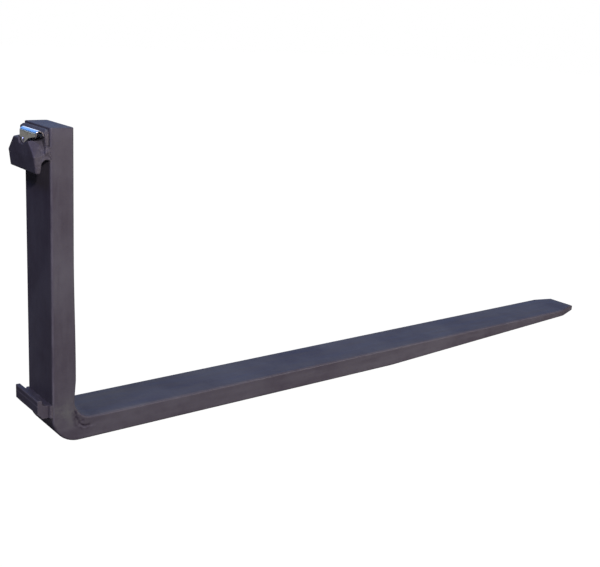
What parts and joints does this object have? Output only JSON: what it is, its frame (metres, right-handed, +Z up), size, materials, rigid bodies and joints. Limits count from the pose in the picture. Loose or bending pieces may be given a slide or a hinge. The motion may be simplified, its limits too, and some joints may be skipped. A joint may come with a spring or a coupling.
{
  "type": "forklift fork",
  "caption": "Hook-type fork arm: forged L of shank and tapered blade, a welded top hook with a sprung lever latch, and a welded lower hook.",
  "frame": {"origin": "on the back face of the shank, centre of the width, midway between the seats of the two hooks (279 mm above the underside of the blade)", "axes": "+X along the blade to its tip, out of the shank's front face; +Y across the width; +Z up the shank"},
  "size_m": [1.4675, 0.101, 0.534],
  "materials": {
    "arm_paint": "satin",
    "hook_paint": "satin",
    "weld_paint": "satin",
    "pin_steel": "brushed",
    "spring_steel": "oiled",
    "zinc_plate": "bright"
  },
  "bodies": {
    "arm": {"fork_arm": "arm_paint", "top_hook": "hook_paint", "lower_hook": "hook_paint", "top_hook_weld_near": "weld_paint", "top_hook_weld_far": "weld_paint", "lower_hook_weld_near": "weld_paint", "lower_hook_weld_far": "weld_paint", "lower_hook_weld_under": "weld_paint", "latch_spring": "spring_steel"},
    "pin": {"latch_pin": "pin_steel"},
    "lever": {"latch_lever": "zinc_plate", "lever_rivet": "zinc_plate"}
  },
  "joints": [
    {"name": "pin_lift", "type": "slide", "parent": "arm", "child": "pin", "axis": [0, 0, 1], "range_m": [0, 0.0065], "deforming": ["latch_spring"]},
    {"name": "lever_flip", "type": "hinge", "parent": "pin", "child": "lever", "pos_m": [-0.0165, 0, 0.2323], "axis": [-1, 0, 0], "range_deg": [0, 90]}
  ],
  "couplings": [
    {"joint": "pin_lift", "follows": "lever_flip", "m_per_rad": 0.00413}
  ]
}
